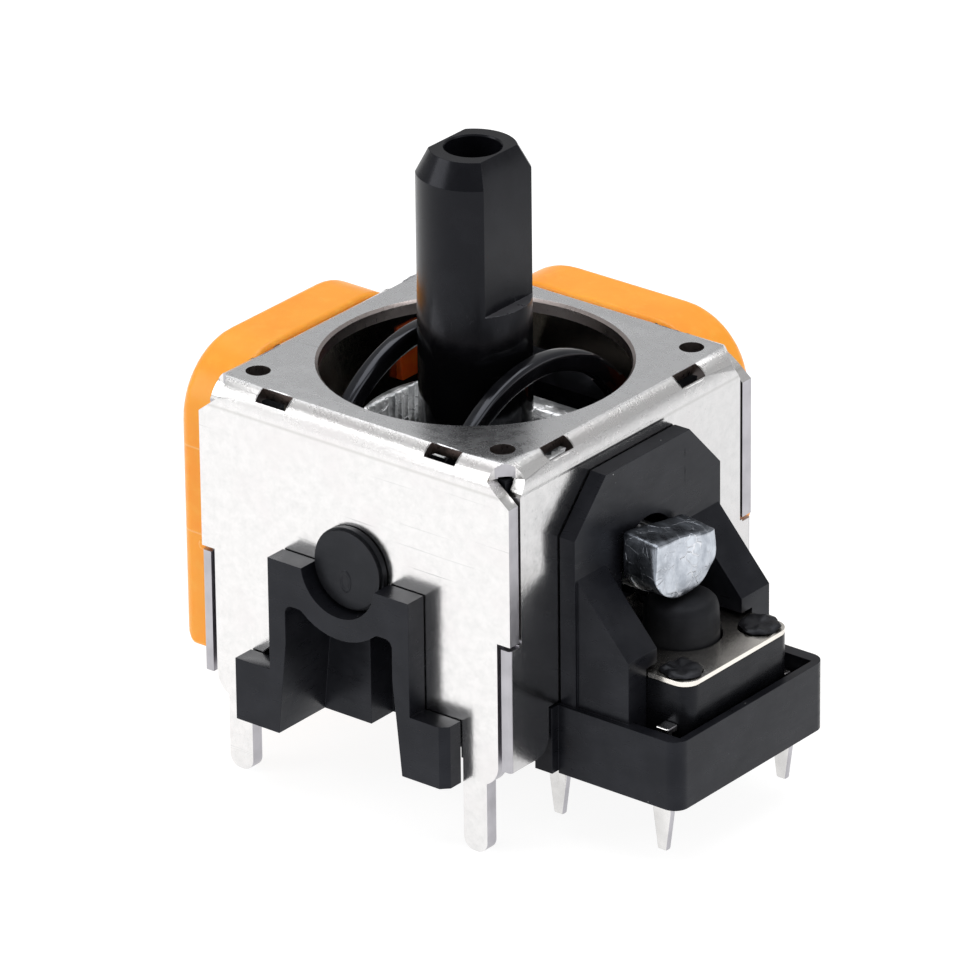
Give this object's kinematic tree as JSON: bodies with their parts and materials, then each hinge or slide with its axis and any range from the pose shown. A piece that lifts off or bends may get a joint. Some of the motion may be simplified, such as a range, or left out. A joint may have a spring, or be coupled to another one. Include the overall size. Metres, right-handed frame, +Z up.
{
  "type": "analog stick module",
  "caption": "Board-mounted two-axis analog stick with push switch: steel shell, black moulding, orange resistor housings.",
  "frame": {"origin": "foot of the stick's axis on the circuit board face", "axes": "+Z up along the stick at rest, +X towards the push switch, -Y towards the journal bracket"},
  "size_m": [0.0212, 0.0169, 0.0227],
  "materials": {
    "shell_steel": "bright tinned sheet, fine grain",
    "black_moulding": "satin moulding",
    "stick_black": "satin, slightly oily",
    "pin_steel": "ground",
    "rocker_black": "smooth, greased",
    "cast_zinc": "bare zinc casting, cut gate face",
    "seat_black": "satin",
    "spring_steel": "drawn wire",
    "orange_moulding": "satin moulding",
    "track_board": "phenolic with carbon arcs",
    "tinned_terminal": "tinned",
    "rotor_white": "natural moulding",
    "brush_brass": "sprung sheet",
    "switch_black": "satin",
    "cover_nickel": "nickel plate",
    "button_black": "satin",
    "dome_steel": "sprung sheet"
  },
  "bodies": {
    "housing": {"shell": "shell_steel", "base_housing": "black_moulding", "pot_housing_x": "orange_moulding", "pot_housing_y": "orange_moulding", "resistive_track_x": "track_board", "resistive_track_y": "track_board", "pot_terminals_x": "tinned_terminal", "pot_terminals_y": "tinned_terminal", "switch_body": "switch_black", "switch_cover": "cover_nickel", "switch_terminals": "tinned_terminal", "switch_dome": "dome_steel", "return_spring": "spring_steel"},
    "rotor": {"wiper_rotor_x": "rotor_white", "wiper_brush_x": "brush_brass"},
    "cast_rocker": {"lower_rocker": "cast_zinc", "pivot_pin": "pin_steel"},
    "stem": {"stick": "stick_black"},
    "arch": {"upper_rocker": "rocker_black", "wiper_rotor_y": "rotor_white", "wiper_brush_y": "brush_brass"},
    "button": {"switch_button": "button_black"},
    "seat": {"spring_seat": "seat_black"}
  },
  "joints": [
    {"name": "tilt_about_x", "type": "hinge", "parent": "housing", "child": "rotor", "pos_m": [-0.007, 0, 0.00685], "axis": [1, 0, 0], "range_deg": [-20, 20], "stiffness_Nm_per_rad": 0.02},
    {"name": "push", "type": "hinge", "parent": "rotor", "child": "cast_rocker", "pos_m": [-0.007, 0, 0.00685], "axis": [0, 1, 0], "range_deg": [0, 0.9], "stiffness_Nm_per_rad": 1, "springref_deg": -0.29},
    {"name": "tilt_about_y", "type": "hinge", "parent": "cast_rocker", "child": "stem", "pos_m": [0, 0, 0.00685], "axis": [0, 1, 0], "range_deg": [-20, 20], "stiffness_Nm_per_rad": 0.02},
    {"name": "arch_turn", "type": "hinge", "parent": "housing", "child": "arch", "pos_m": [0, 0, 0.00685], "axis": [0, 1, 0], "range_deg": [-20, 20]},
    {"name": "button_travel", "type": "slide", "parent": "housing", "child": "button", "axis": [0, 0, -1], "range_m": [0, 0.00025], "deforming": ["switch_dome"]},
    {"name": "seat_travel", "type": "slide", "parent": "housing", "child": "seat", "axis": [0, 0, -1], "range_m": [0, 0.00012], "deforming": ["return_spring"]}
  ],
  "couplings": [
    {"joint": "arch_turn", "follows": "tilt_about_y", "ratio": 1},
    {"joint": "button_travel", "follows": "push", "m_per_rad": 0.0155},
    {"joint": "seat_travel", "follows": "push", "m_per_rad": 0.007}
  ]
}
